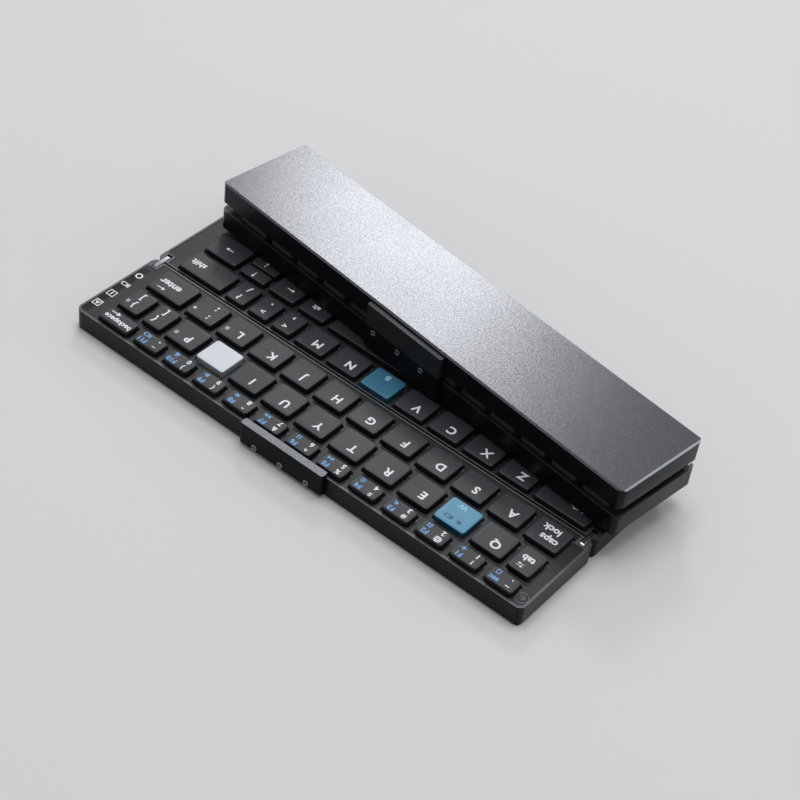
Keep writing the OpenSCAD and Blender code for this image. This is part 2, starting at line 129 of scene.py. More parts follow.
def second_folded(points):
    """The near leaf of the second keyboard: half a turn about the closed hinge's middle, then its place."""
    x, y, z = points.T
    return second(np.column_stack([x, 2 * HINGE_Y - y, 2 * (PIVOT_Z + PIVOT_HALF) - z]))


# ---------------------------------------------------------------- materials
class Finish:
    """A material whose nodes are added one after another."""

    def __init__(self, name, color, roughness, metallic=0.0, **sockets):
        self.material = bpy.data.materials.new(name)
        self.material.use_nodes = True
        self.tree = self.material.node_tree
        self.shader = self.tree.nodes["Principled BSDF"]
        self.shader.inputs["Base Color"].default_value = (*color, 1)
        self.shader.inputs["Roughness"].default_value = roughness
        self.shader.inputs["Metallic"].default_value = metallic
        for socket, value in sockets.items():
            self.shader.inputs[socket.replace("_", " ")].default_value = value
        self.place = self.tree.nodes.new("ShaderNodeTexCoord").outputs["Object"]
        self.bump_chain = None

    def node(self, kind, **values):
        """Adds a node and sets its properties or, where it has none of that name, its inputs."""
        made = self.tree.nodes.new(kind)
        for name, value in values.items():
            if hasattr(made, name):
                setattr(made, name, value)
            else:
                made.inputs[name.replace("_", " ")].default_value = value
        return made

    def link(self, a, b):
        """Joins the output a to the input b."""
        self.tree.links.new(a, b)

    def scaled(self, scale):
        """Object coordinates multiplied by scale along each axis, for stretched grain."""
        mapping = self.node("ShaderNodeMapping")
        mapping.inputs["Scale"].default_value = scale
        self.link(self.place, mapping.inputs["Vector"])
        return mapping.outputs["Vector"]

    def noise(self, scale, detail=3.0, stretch=(1, 1, 1)):
        """Fractal noise with about scale features a metre."""
        made = self.node("ShaderNodeTexNoise", Scale=scale, Detail=detail)
        self.link(self.scaled(stretch), made.inputs["Vector"])
        return made.outputs["Fac"]

    def ramp(self, source, stops):
        """A colour ramp over source; stops are (position, colour)."""
        made = self.node("ShaderNodeValToRGB")
        elements = made.color_ramp.elements
        while len(elements) < len(stops):
            elements.new(0.5)
        for element, (position, color) in zip(elements, stops):
            element.position = position
            element.color = (*color, 1)
        self.link(source, made.inputs["Fac"])
        return made.outputs["Color"]

    def remap(self, source, low, high, a=0.0, b=1.0):
        """Takes source from the range a to b into the range low to high."""
        made = self.node("ShaderNodeMapRange")
        for socket, value in (("From Min", a), ("From Max", b), ("To Min", low), ("To Max", high)):
            made.inputs[socket].default_value = value
        self.link(source, made.inputs["Value"])
        return made.outputs["Result"]

    def bump(self, height, strength, distance):
        """Adds a layer of relief to the surface, on top of those already there."""
        made = self.node("ShaderNodeBump", Strength=strength, Distance=distance)
        self.link(height, made.inputs["Height"])
        if self.bump_chain is not None:
            self.link(self.bump_chain, made.inputs["Normal"])
        self.bump_chain = made.outputs["Normal"]
        self.link(self.bump_chain, self.shader.inputs["Normal"])
        return self

    def color(self, source):
        """Drives the base colour from source."""
        self.link(source, self.shader.inputs["Base Color"])
        return self

    def rough(self, source):
        """Drives the roughness from source."""
        self.link(source, self.shader.inputs["Roughness"])
        return self


def tone(color, factor):
    """The colour made lighter or darker by a factor."""
    return tuple(min(1.0, c * factor) for c in color)


def blasted_aluminium(name, color, roughness, grain):
    """Anodised metal: fine blasted grain in relief and colour, and a gloss that drifts in broad clouds."""
    f = Finish(name, color, roughness, 0.9)
    speckle = f.noise(1500.0, 2.0)
    cloud = f.noise(22.0, 1.0)
    f.color(f.ramp(speckle, [(0.32, tone(color, 1 - grain)), (0.68, tone(color, 1 + grain))]))
    f.rough(f.remap(cloud, roughness - 0.008, roughness + 0.012, 0.3, 0.7))
    f.bump(speckle, 0.30, 0.00005)
    return f.material


def polished_edge(name, color, roughness):
    """A diamond-cut edge: smooth bright metal whose gloss wanders slowly along it."""
    f = Finish(name, color, roughness, 0.95)
    wander = f.noise(60.0, 2.0)
    f.color(f.ramp(wander, [(0.3, tone(color, 0.94)), (0.7, tone(color, 1.06))]))
    f.rough(f.remap(wander, roughness - 0.03, roughness + 0.05, 0.3, 0.7))
    return f.material


def moulded_plastic(name, color, roughness, grain_scale=3400.0, depth=0.00004, spread=0.18, **sockets):
    """Moulded satin plastic: fine leathery grain of a given depth in metres, and colour that follows it."""
    f = Finish(name, color, roughness, 0.0, **sockets)
    grain = f.noise(grain_scale, 2.0)
    cloud = f.noise(60.0, 4.0)
    f.color(f.ramp(grain, [(0.35, tone(color, 1 - spread)), (0.65, tone(color, 1 + spread))]))
    f.rough(f.remap(cloud, roughness - 0.04, roughness + 0.05, 0.3, 0.7))
    f.bump(grain, 0.35, depth)
    return f.material


def turned_steel(name, color, roughness):
    """Steel polished along x: grain stretched a hundredfold along the axis."""
    f = Finish(name, color, roughness, 1.0)
    lines = f.noise(9000.0, 2.0, (0.01, 1, 1))
    f.rough(f.remap(lines, roughness - 0.05, roughness + 0.10, 0.3, 0.7))
    f.bump(lines, 0.10, 0.00001)
    return f.material


def print_ink(name, color):
    """Laser-marked print: matt and slightly mottled."""
    f = Finish(name, color, 0.55)
    spots = f.noise(7000.0, 1.0)
    f.color(f.ramp(spots, [(0.2, tone(color, 0.86)), (0.6, color)]))
    f.bump(spots, 0.1, 0.00001)
    return f.material


def masked_board(name):
    """Green solder mask over copper tracks that run in steps along x and y."""
    green, copper = (0.012, 0.075, 0.035), (0.03, 0.16, 0.07)
    f = Finish(name, green, 0.35)
    brick = f.node("ShaderNodeTexBrick", Scale=220.0)
    brick.inputs["Color1"].default_value = (*green, 1)
    brick.inputs["Color2"].default_value = (*tone(green, 1.2), 1)
    brick.inputs["Mortar"].default_value = (*copper, 1)
    brick.inputs["Mortar Size"].default_value = 0.03
    f.link(f.place, brick.inputs["Vector"])
    f.color(brick.outputs["Color"])
    f.bump(brick.outputs["Fac"], 0.2, 0.00003)
    return f.material


def milky_film(name):
    """Milky film, opaque here, with faint ripples."""
    f = Finish(name, (0.55, 0.54, 0.50), 0.35)
    ripple = f.noise(90.0, 2.0)
    f.color(f.ramp(ripple, [(0.3, (0.50, 0.49, 0.45)), (0.7, (0.62, 0.61, 0.57))]))
    f.bump(ripple, 0.1, 0.0001)
    return f.material


def pouch_foil(name):
    """Battery foil: soft creases in a dull metal skin."""
    f = Finish(name, (0.32, 0.33, 0.35), 0.42, 0.8)
    crease = f.noise(160.0, 5.0, (1, 0.4, 1))
    f.rough(f.remap(crease, 0.34, 0.5, 0.3, 0.7))
    f.bump(crease, 0.3, 0.0001)
    return f.material


ALUMINIUM = blasted_aluminium("blasted_aluminium", (0.108, 0.111, 0.119), 0.24, 0.22)
# Side walls: a darkened copy of the aluminium, painted shade.
SHADED_SIDE_METAL = blasted_aluminium("side_wall_painted_shade", (0.014, 0.0145, 0.0165), 0.34, 0.14)
RIM_METAL = blasted_aluminium("rim_anodised", (0.100, 0.103, 0.111), 0.46, 0.12)
BRIGHT_EDGE = polished_edge("cut_bright_edge", (0.17, 0.175, 0.19), 0.45)
CHAMFER = polished_edge("cut_end_chamfer", (0.20, 0.205, 0.215), 0.32)
DECK = moulded_plastic("deck_satin", (0.012, 0.0125, 0.0145), 0.42, 3000.0, Specular_IOR_Level=0.35)
DECK_EDGE = moulded_plastic("deck_edge", (0.030, 0.031, 0.035), 0.30, 3000.0)
KEYCAP = moulded_plastic("keycap_satin", (0.028, 0.029, 0.034), 0.42, 2200.0, 0.00006, 0.30,
                         Specular_IOR_Level=0.4)
# Key sides: darker copies of the keycap colours, painted shade.
KEYCAP_SHADED_SIDE = moulded_plastic("keycap_side_painted_shade", (0.006, 0.006, 0.007), 0.50, Specular_IOR_Level=0.25)
BLUE_CAP = moulded_plastic("blue_keycap", (0.075, 0.28, 0.43), 0.34, spread=0.06)
# The b key: a darker copy of the blue, painted shade where the folded keyboard shades it.
SHADED_BLUE_CAP = moulded_plastic("blue_keycap_painted_shade", (0.045, 0.17, 0.27), 0.34, spread=0.06)
BLUE_SHADED_SIDE = moulded_plastic("blue_keycap_side_painted_shade", (0.010, 0.060, 0.095), 0.42, spread=0.05)
WHITE_CAP = moulded_plastic("white_keycap", (0.68, 0.70, 0.75), 0.36, spread=0.03)
WHITE_SHADED_SIDE = moulded_plastic("white_keycap_side_painted_shade", (0.30, 0.32, 0.35), 0.45, spread=0.03)
CLASP = moulded_plastic("clasp_satin", (0.003, 0.003, 0.004), 0.45, 3000.0, Specular_IOR_Level=0.10)
# The clasp top: a paler copy of the clasp plastic, painted highlight.
CLASP_TOP_HIGHLIGHT = moulded_plastic("clasp_top_painted_highlight", (0.19, 0.20, 0.22), 0.34, 1800.0, 0.00005, 0.26)
STRIP = moulded_plastic("strip_gloss", (0.008, 0.0085, 0.0100), 0.30, 2600.0, 0.00001,
                        Specular_IOR_Level=0.18)
SOCKET = moulded_plastic("socket_black", (0.012, 0.012, 0.013), 0.4)
STEEL = turned_steel("turned_steel", (0.62, 0.63, 0.65), 0.18)
PLATED = turned_steel("plated_contact", (0.26, 0.255, 0.25), 0.28)
# Link faces: a darker copy of the steel under bright steel edges, painted shade and painted edge highlight.
SHADED_LINK_FACE = turned_steel("link_face_painted_shade", (0.36, 0.36, 0.38), 0.22)
WHITE_PRINT = print_ink("white_print", (0.86, 0.87, 0.90))
BLUE_PRINT = print_ink("blue_print", (0.18, 0.40, 0.76))
PALE_PRINT = print_ink("pale_print", (0.35, 0.62, 0.78))
DEEP_PRINT = print_ink("deep_print", (0.02, 0.12, 0.22))
BOARD = masked_board("solder_mask")
FILM = milky_film("switch_film")
FOIL = pouch_foil("pouch_foil")


# ---------------------------------------------------------------- mesh making
def add_object(name, data):
    """A new object in the scene for a mesh, a curve, a lamp or a camera."""
    thing = bpy.data.objects.new(name, data)
    bpy.context.scene.collection.objects.link(thing)
    return thing


def dress(mesh, materials):
    """Gives a mesh these materials in place of its own."""
    mesh.materials.clear()
    for material in materials:
        mesh.materials.append(material)


def add_piece(name, vertices_mm, faces, materials, body, replaced=(), face_materials=None, smooth_angle=None):
    """Makes a mesh from vertices in millimetres, turns its faces outwards and lets it ride on a body."""
    mesh = bpy.data.meshes.new(name)
    mesh.from_pydata((np.asarray(vertices_mm) * MM).tolist(), [], faces)
    dress(mesh, materials)
    if face_materials is not None:
        mesh.polygons.foreach_set("material_index", np.asarray(face_materials, np.int32))
    work = bmesh.new()
    work.from_mesh(mesh)
    bmesh.ops.recalc_face_normals(work, faces=work.faces)
    work.to_mesh(mesh)
    work.free()
    if smooth_angle is not None:
        mesh.shade_smooth()
        mesh.set_sharp_from_angle(angle=math.radians(smooth_angle))
    piece = add_object(name, mesh)
    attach(piece, body)
    if replaced:
        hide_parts(*replaced)
    return piece


ARC_STEPS = 7
OUTLINE = 4 * (ARC_STEPS + 1)


def rounded_rectangle(w, d, r, steps=ARC_STEPS):
    """A w by d rectangle with round corners, anticlockwise: the points are corner centre + r (cos a, sin a).

    Each corner has steps + 1 of them.
    """
    turn = np.linspace(0, math.pi / 2, steps + 1)
    centres = [(w / 2 - r, d / 2 - r), (r - w / 2, d / 2 - r), (r - w / 2, r - d / 2), (w / 2 - r, r - d / 2)]
    angles = np.concatenate([turn + i * math.pi / 2 for i in range(4)])
    middle = np.repeat(centres, steps + 1, axis=0)
    return middle + r * np.stack([np.cos(angles), np.sin(angles)], axis=1)


def ring_faces(rings, count, start=0, closed=False):
    """Quads between rings of count points each; the ends get a face each, or meet when closed."""
    i = np.arange(count)
    j = (i + 1) % count
    faces = []
    for k in range(rings if closed else rings - 1):
        low, high = start + k * count, start + (k + 1) % rings * count
        faces += np.stack([low + i, low + j, high + j, high + i], axis=1).tolist()
    if not closed:
        faces.append((start + i[::-1]).tolist())
        faces.append((start + (rings - 1) * count + i).tolist())
    return faces


def cap_profile():
    """Inset and height up a keycap's side: a straight slope, then a quarter round onto the flat top."""
    turn = np.linspace(0, math.pi / 2, 6)
    inset = np.concatenate([[0.0], CAP_SLOPE + CAP_ROUND * (1 - np.cos(turn)), [CAP_RIM]])
    height = np.concatenate([[KEY_FOOT], KEY_TOP - CAP_ROUND + CAP_ROUND * np.sin(turn), [KEY_TOP]])
    return inset, height


def keycaps(name, keys, materials, body, replaced):
    """Keycaps, each a rounded rectangle drawn in by the profile's inset at each of its heights.

    materials are those of the top and of the side, which is the lowest band of faces; the side's is a darker
    copy of the top's, painted shade.
    """
    inset, height = cap_profile()
    points, faces, which, offset = [], [], [], 0
    for x, y, w, d in keys:
        rings = [np.column_stack([rounded_rectangle(w - 2 * a, d - 2 * a, max(KEY_R - 0.5 * a, 0.5)) + (x, y),
                                  np.full(OUTLINE, z)]) for a, z in zip(inset, height)]
        made = ring_faces(len(rings), OUTLINE, offset)
        points += rings
        faces += made
        which += [1] * OUTLINE + [0] * (len(made) - OUTLINE)
        offset += OUTLINE * len(rings)
    piece = add_piece(name, np.concatenate(points), faces, materials, body, replaced, which, smooth_angle=40)
    return piece


def lathe(profile, steps=32, closed=False):
    """Turns a profile of (radius, height) pairs about z: the points are (r cos a, r sin a, h).

    Its ends are closed flat, or the profile meets itself.
    """
    angles = np.linspace(0, 2 * math.pi, steps, endpoint=False)
    r, h = np.array(profile).T
    rings = np.stack([r[:, None] * np.cos(angles), r[:, None] * np.sin(angles),
                      np.repeat(h[:, None], steps, axis=1)], axis=2)
    return rings.reshape(-1, 3), ring_faces(len(r), steps, closed=closed)


def merged(parts):
    """Joins (vertices, faces) parts into one."""
    offset, points, faces = 0, [], []
    for vertices, part_faces in parts:
        points.append(vertices)
        faces += [[i + offset for i in face] for face in part_faces]
        offset += len(vertices)
    return np.concatenate(points), faces


# ---------------------------------------------------------------- print
PRINT_T, PRINT_WEIGHT, SIGN_WEIGHT = 0.03, 0.045, 0.06
CAPITAL = 0.69  # a capital's height as a share of the font's size
DISC_SIDES, RING_HOLE = 16, 0.6
BOX = np.array([(-0.5, -0.5), (0.5, -0.5), (0.5, 0.5), (-0.5, 0.5)])
circle = np.linspace(0, 2 * math.pi, DISC_SIDES, endpoint=False)
DISC = 0.5 * np.column_stack([np.cos(circle), np.sin(circle)])
ARROW = np.array([(-0.9, -0.09), (0.25, -0.09), (0.25, -0.42), (0.9, 0),
                  (0.25, 0.42), (0.25, 0.09), (-0.9, 0.09)])
HEAD = np.array([(-0.6, -0.4), (0.1, 0), (-0.6, 0.4)])


def frame_bars(w, h, line):
    """Four bars round a w by h rectangle."""
    return [BOX * (w, line) + (0, s * (h - line) / 2) for s in (-1, 1)] + \
           [BOX * (line, h - 2 * line) + (s * (w - line) / 2, 0) for s in (-1, 1)]


# Each sign is a list of outlines in units of its height
SIGNS = {
    "@arrow_left": [ARROW * (-1, 1)],
    "@arrow_right": [ARROW],
    "@arrow_up": [ARROW[:, ::-1] * 0.7],
    "@arrow_down": [ARROW[:, ::-1] * (0.7, -0.7)],
    "@tabs": [ARROW * (-0.8, 0.8) + (0, 0.32), ARROW * (0.8, 0.8) + (0, -0.32)],
    "@play": [np.array([(-0.4, -0.5), (0.5, 0), (-0.4, 0.5)])],
    "@pause": [BOX * (0.22, 1) + (s * 0.25, 0) for s in (-1, 1)],
    "@next": [HEAD, HEAD + (0.7, 0)],
    "@back": [HEAD * (-1, 1), HEAD * (-1, 1) - (0.7, 0)],
    "@sun": [DISC * 0.6] + [BOX * (0.12, 0.22) + (0, s * 0.48) for s in (-1, 1)]
            + [BOX * (0.22, 0.12) + (s * 0.48, 0) for s in (-1, 1)],
    "@speaker": [BOX * (0.3, 0.4) + (-0.35, 0), BOX * (0.1, 0.5) + (0.38, 0),
                 np.array([(-0.2, -0.2), (0.15, -0.5), (0.15, 0.5), (-0.2, 0.2)])],
    "@glass": [DISC * 0.7 + (-0.1, 0.1), np.array([(0.12, -0.18), (0.2, -0.1), (0.5, -0.42), (0.42, -0.5)])],
    "@page": frame_bars(0.8, 1.0, 0.16),
    "@frame": frame_bars(1.1, 1.1, 0.13),
    "@ring": [np.array([a, b, RING_HOLE * b, RING_HOLE * a])
              for a, b in zip(DISC, np.roll(DISC, -1, axis=0))],
    "@cell": frame_bars(1.5, 0.8, 0.14) + [BOX * (0.14, 0.36) + (0.84, 0), BOX * (0.5, 0.36) + (-0.3, 0)],
    "@lock": [BOX * (0.8, 0.55) + (0, -0.2), BOX * (0.56, 0.12) + (0, 0.4)]
             + [BOX * (0.12, 0.3) + (s * 0.22, 0.2) for s in (-1, 1)],
    "@grid": [BOX * 0.38 + (x, y) for x in (-0.26, 0.26) for y in (-0.26, 0.26)],
    "@bars": [BOX * (0.9, 0.16) + (0, y) for y in (-0.36, 0, 0.36)],
}


def sign_mesh(sign, height):
    """The flat solids over a sign's outlines."""
    parts = []
    for outline in SIGNS[sign]:
        n = len(outline)
        levels = [np.column_stack([outline * height, np.full(n, z)]) for z in (0, PRINT_T)]
        parts.append((np.concatenate(levels), ring_faces(2, n)))
    return merged(parts)


def text_mesh(words, height, weight):
    """The outline of words as a thin solid centred on the origin, with capitals height tall, in mm."""
    curve = bpy.data.curves.new("words", "FONT")
    curve.body = words
    curve.size = height / CAPITAL
    curve.extrude = PRINT_T
    curve.offset = weight * height
    curve.resolution_u = 3
    thing = add_object("words", curve)
    bpy.context.view_layer.update()
    mesh = bpy.data.meshes.new_from_object(thing.evaluated_get(bpy.context.evaluated_depsgraph_get()))
    vertices = np.zeros(len(mesh.vertices) * 3, np.float32)
    mesh.vertices.foreach_get("co", vertices)
    vertices = vertices.reshape(-1, 3).astype(float)
    faces = [list(p.vertices) for p in mesh.polygons]
    bpy.data.objects.remove(thing)
    bpy.data.curves.remove(curve)
    bpy.data.meshes.remove(mesh)
    vertices[:, :2] -= (vertices[:, :2].max(0) + vertices[:, :2].min(0)) / 2
    return vertices, faces


def print_on(name, marks, z, material, body, place=here, weight=PRINT_WEIGHT):
    """Prints marks (words or sign, x, y, height) on a face at height z, proud by a hair."""
    parts = []
    for words, x, y, height in marks:
        vertices, faces = sign_mesh(words, height) if words in SIGNS else text_mesh(words, height, weight)
        parts.append((vertices + (x, y, z), faces))
    points, faces = merged(parts)
    return add_piece(name, place(points), faces, [material], body)


MERGE_M, FLAT_ANGLE = 2e-6, 0.6
# Parts of a unit normal along z or x, by which a face counts as level or sloped
LEVEL, SLOPED = 0.9, 0.5


def softened_copy(node, name, materials, body, width, segments=2, angle=28.0, edge_material=0, zone=None):
    """The node's own shape with its flat faces rejoined and its edges rounded to a given width in mm.

    zone gives the faces' materials from their middles in mm and their normals, and edges sharper than angle
    are rounded.
    """
    source = nodes[node].data
    mesh = bpy.data.meshes.new(name)
    work = bmesh.new()
    work.from_mesh(source)
    bmesh.ops.remove_doubles(work, verts=work.verts, dist=MERGE_M)
    bmesh.ops.dissolve_limit(work, angle_limit=math.radians(FLAT_ANGLE), verts=work.verts, edges=work.edges)
    work.to_mesh(mesh)
    work.free()
    dress(mesh, materials)
    count = len(mesh.polygons)
    which = np.zeros(count, np.int32)
    if zone is not None:
        middles, normals = np.zeros((2, count * 3), np.float32)
        mesh.polygons.foreach_get("center", middles)
        mesh.polygons.foreach_get("normal", normals)
        which = np.asarray(zone(middles.reshape(-1, 3) / MM, normals.reshape(-1, 3)), np.int32)
    mesh.polygons.foreach_set("material_index", which)
    mesh.shade_smooth()
    mesh.set_sharp_from_angle(angle=math.radians(angle))
    piece = add_object(name, mesh)
    bevel = piece.modifiers.new("rounded_edges", "BEVEL")
    bevel.width = width * MM
    bevel.segments = segments
    bevel.limit_method = "ANGLE"
    bevel.angle_limit = math.radians(angle)
    bevel.material = edge_material
    bevel.use_clamp_overlap = True
    bevel.harden_normals = True
    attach(piece, body)
    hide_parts(node)
    return piece


# ---------------------------------------------------------------- keys
# The b key's cap takes the darker blue: painted shade.
for node, names in KEY_NODES.items():
    cap = {"key_w": [BLUE_CAP, BLUE_SHADED_SIDE], "key_b": [SHADED_BLUE_CAP, BLUE_SHADED_SIDE],
           "key_o": [WHITE_CAP, WHITE_SHADED_SIDE]}.get(node, [KEYCAP, KEYCAP_SHADED_SIDE])
    keycaps(f"{node}_caps", [KEYS[n] for n in names], cap, BODY_OF[node], [node])

marks = {node: [] for node in KEY_NODES}
blue_marks = []
node_of = {name: node for node, names in KEY_NODES.items() for name in names}


def mark(name, words, dx, dy, height):
    """Notes words or a sign for a key, dx and dy from its middle."""
    x, y = KEYS[name][:2]
    marks[node_of[name]].append((words, x + dx, y + dy, height))


# The w and b keys carry their letters small, below their middle, and the o key is blank
for letter in "qertyuipasdfghjklzxcvnm":
    mark(letter, letter.upper(), -1.6, 1.85, 3.65)
mark("w", "W", 1.0, -4.0, 2.4)
mark("b", "B", 0.4, -3.2, 2.6)
mark("p", "@bars", 4.6, 2.0, 1.8)
mark("l", "@bars", 4.6, 2.2, 1.8)
for i, (high, low) in enumerate(["~`", "!1", "@2", "#3", "$4", "%5", "^6", "&7", "*8", "(9", ")0", "_-"]):
    mark(f"number_{i}", high, -3.1, 1.75, 2.1)
    mark(f"number_{i}", low, -3.1, -1.85, 2.2)
blue_signs = ["@page", "@sun", "@grid", "@glass", "@bars", "@back",
              "@pause", "@next", "@speaker", "@play", "@lock", "@cell"]
for i, sign in enumerate(blue_signs):
    x, y = KEYS[f"number_{i}"][:2]
    blue_marks.append(("esc" if i == 0 else f"F{i}", x + 2.9, y + 1.75, 2.2))
    blue_marks.append((sign, x + 3.2, y - 1.75, 2.2))
mark("number_12", "backspace", -0.3, 0.9, 2.3)
mark("number_12", "@arrow_left", 3.3, -2.0, 2.6)
mark("open_bracket", "{", 1.2, 2.4, 3.0)
mark("open_bracket", "[", 0.6, -3.0, 3.0)
mark("close_bracket", "}", 0.0, 2.4, 3.0)
mark("close_bracket", "]", 0.3, -3.0, 3.0)
mark("close_bracket", "@bars", 3.3, 2.3, 1.7)
mark("semicolon", ":", -2.6, 3.1, 3.2)
mark("semicolon", ";", -2.0, -3.1, 3.2)
mark("semicolon", "\"", 5.0, 2.4, 2.6)
mark("comma", "<", 0.2, 3.0, 2.6)
mark("comma", ",", 0.4, -3.1, 3.6)
mark("period", ">", -0.3, 2.8, 2.6)
mark("period", ".", -0.2, -3.1, 3.6)
mark("slash", "?", 0.0, 3.0, 3.0)
mark("slash", "/", -0.4, -3.0, 3.0)
mark("tab", "tab", 0.3, -0.6, 2.9)
mark("tab", "@tabs", 1.0, 3.4, 1.9)
mark("caps", "caps", -1.4, 1.7, 3.0)
mark("caps", "lock", 0.6, -2.4, 3.0)
mark("enter", "enter", 2.1, -0.4, 3.3)
mark("enter", "@arrow_left", 3.6, 3.6, 2.3)
mark("left_shift", "shift", -5.4, 0.0, 2.9)
mark("right_shift", "shift", 5.8, 0.0, 2.9)
mark("fn", "fn", 0.0, 0.6, 2.5)
for name, words, dx, dy in (("ctrl", "ctrl", 0.0, 0.6), ("cmd", "opt", 0.0, 0.6), ("alt", "alt", 0.0, 0.6),
                            ("right_alt", "alt", 1.0, 1.6)):
    mark(name, words, dx, dy, 2.4)
mark("up_arrow", "@arrow_up", 0.4, 0.9, 2.6)
mark("down_arrow", "@arrow_down", 0.8, -0.3, 2.6)
mark("left_arrow", "@arrow_left", -0.6, 0.75, 2.2)
mark("right_arrow", "@arrow_right", 0.0, 0.15, 2.2)
coloured = {"key_w": PALE_PRINT, "key_b": PALE_PRINT}
for node, words in marks.items():
    if words:
        print_on(f"{node}_print", words, KEY_TOP, coloured.get(node, WHITE_PRINT), BODY_OF[node])
print_on("number_keys_blue_print", blue_marks, KEY_TOP, BLUE_PRINT, BODY_OF["number_keys"])
for key, signs in (("w", [("@cell", 2.15, 3.1, 2.4), ("@glass", -2.3, 2.9, 2.6)]),
                   ("b", [("@page", -0.3, 0.6, 2.2)])):
    x, y = KEYS[key][:2]
    print_on(f"key_{key}_signs", [(sign, x + dx, y + dy, height) for sign, dx, dy, height in signs],
             KEY_TOP, DEEP_PRINT, f"key_{key}")

# ---------------------------------------------------------------- covers, decks
COVER_FINISHES = [ALUMINIUM, BRIGHT_EDGE, CHAMFER, SHADED_SIDE_METAL, RIM_METAL]
FACE_ZONE, EDGE_ZONE, CHAMFER_ZONE, SHADED_SIDE_ZONE, RIM_ZONE = range(5)


def cover_zone(inward):
    """Outer face, bright chamfers at the two ends, side walls darkened as painted shade, and the duller rim
    and inside.

    inward is 1 where the inside of the cover looks up, and -1 where it looks down.
    """
    def zone(middles, normals):
        slope = np.abs(normals)
        chamfer = (slope[:, 0] > SLOPED) & (slope[:, 2] > SLOPED)
        inside = normals[:, 2] * inward > LEVEL
        flat = np.where(inside, RIM_ZONE, FACE_ZONE)
        return np.where(chamfer, CHAMFER_ZONE, np.where(slope[:, 2] < SLOPED, SHADED_SIDE_ZONE, flat))

    return zone


for node, inward in (("far_cover", 1), ("near_cover", 1), ("second_far_cover", 1), ("second_near_cover", -1)):
    softened_copy(node, f"{node}_shell", COVER_FINISHES, BODY_OF[node], COVER_BEVEL,
                  edge_material=EDGE_ZONE, zone=cover_zone(inward))
for node in ("far_deck", "near_deck"):
    softened_copy(node, f"{node}_plate", [DECK, DECK_EDGE], BODY_OF[node], DECK_BEVEL, edge_material=1)
softened_copy("indicator_strip", "indicator_strip_plate", [STRIP, DECK_EDGE], BODY_OF["indicator_strip"],
              STRIP_BEVEL, edge_material=1)
indicator_marks = [(sign, SIGN_X, y, height) for sign, y, height in
                   (("@frame", 13.8, 3.3), ("A", 13.8, 2.0), ("@frame", 5.9, 3.3), ("1", 5.9, 2.0),
                    ("@cell", -1.9, 2.6), ("@ring", -9.5, 3.3))]
print_on("indicator_print", indicator_marks, DECK_TOP, WHITE_PRINT, "far_leaf", weight=SIGN_WEIGHT)

# ---------------------------------------------------------------- the second keyboard's decks and keys
KEYSET_FINISHES = [DECK, KEYCAP, BLUE_CAP, WHITE_CAP]
DECK_ZONE, KEY_ZONE, BLUE_ZONE, WHITE_ZONE = range(4)


def keyset_zone(place, coloured_keys):
    """Deck, keycaps and coloured keycaps, by a face's height over the deck and its nearness to a key."""
    deck = place(np.array([[0.0, 0.0, DECK_TOP + 0.05], [0.0, 0.0, DECK_TOP + 1.0]]))
    up = np.sign(deck[1, 2] - deck[0, 2])

    def zone(middles, normals):
        above = (middles[:, 2] - deck[0, 2]) * up > 0
        which = np.where(above, KEY_ZONE, DECK_ZONE)
        for key, material in coloured_keys:
            centre = place(np.array([[*KEYS[key][:2], KEY_TOP]]))[0]
            near = np.hypot(*(middles[:, :2] - centre[:2]).T) < KEY_W / 2 + 0.2
            which[above & near] = material
        return which

    return zone


for leaf, place, coloured_keys in (("far", second, [("w", BLUE_ZONE), ("o", WHITE_ZONE)]),
                                   ("near", second_folded, [("b", BLUE_ZONE)])):
    keyset = f"second_{leaf}_keyset"
    softened_copy(keyset, f"{keyset}_top", KEYSET_FINISHES, BODY_OF[keyset], KEYSET_BEVEL,
                  zone=keyset_zone(place, coloured_keys))
    names = {k[0] for k in (far_keys if leaf == "far" else near_keys)}
    white = [m for node, words in marks.items() for m in words
             if KEY_NODES[node][0] in names and node not in coloured]
    print_on(f"second_{leaf}_print", white, KEY_TOP, WHITE_PRINT, BODY_OF[keyset], place)
print_on("second_far_blue_print", blue_marks, KEY_TOP, BLUE_PRINT, "second_far_leaf", second)
print_on("second_indicator_print", indicator_marks, DECK_TOP, WHITE_PRINT, "second_far_leaf", second,
         weight=SIGN_WEIGHT)


# ---------------------------------------------------------------- clasps, contacts, button, port, hinge
def clasp_painted_highlight_top(middles, normals):
    """The clasps' top faces, which are a paler copy of the black clasp plastic: a painted highlight."""
    return 2 * (normals[:, 2] > LEVEL)


def port_zone(middles, normals):
    """The black faces of the charging port, centred on its middle: the tongue, the back and the front rim."""
    y, z = middles[:, 1:].T
    return (abs(z - PORT_Z) < TONGUE_H / 2) & (abs(y - PORT_Y) < TONGUE_W / 2)


for node in ("clasp_block", "clasp_keeper"):
    softened_copy(node, f"{node}_body", [CLASP, DECK_EDGE, CLASP_TOP_HIGHLIGHT], BODY_OF[node], CLASP_BEVEL, 3,
                  edge_material=1, zone=clasp_painted_highlight_top)
softened_copy("charge_port", "charge_port_shell", [STEEL, SOCKET], BODY_OF["charge_port"], PORT_BEVEL,
              zone=port_zone)
softened_copy("second_fittings", "second_fittings_body", [CLASP], BODY_OF["second_fittings"], CLASP_BEVEL, 3)
# The open keyboard's links get faces darker than their edges: painted shade.
for node, face in (("hinge_links", SHADED_LINK_FACE), ("second_links", STEEL)):
    softened_copy(node, f"{node}_bars", [face, STEEL], BODY_OF[node], LINK_BEVEL, 3, edge_material=1)


def half_round(radius, half_width, rise, foot):
    """A ring's profile: half an ellipse that spans half_width to either side of radius, rise above foot."""
    bend = np.linspace(0, math.pi, 9)
    return [(radius - half_width * math.cos(a), foot + rise * math.sin(a)) for a in bend]


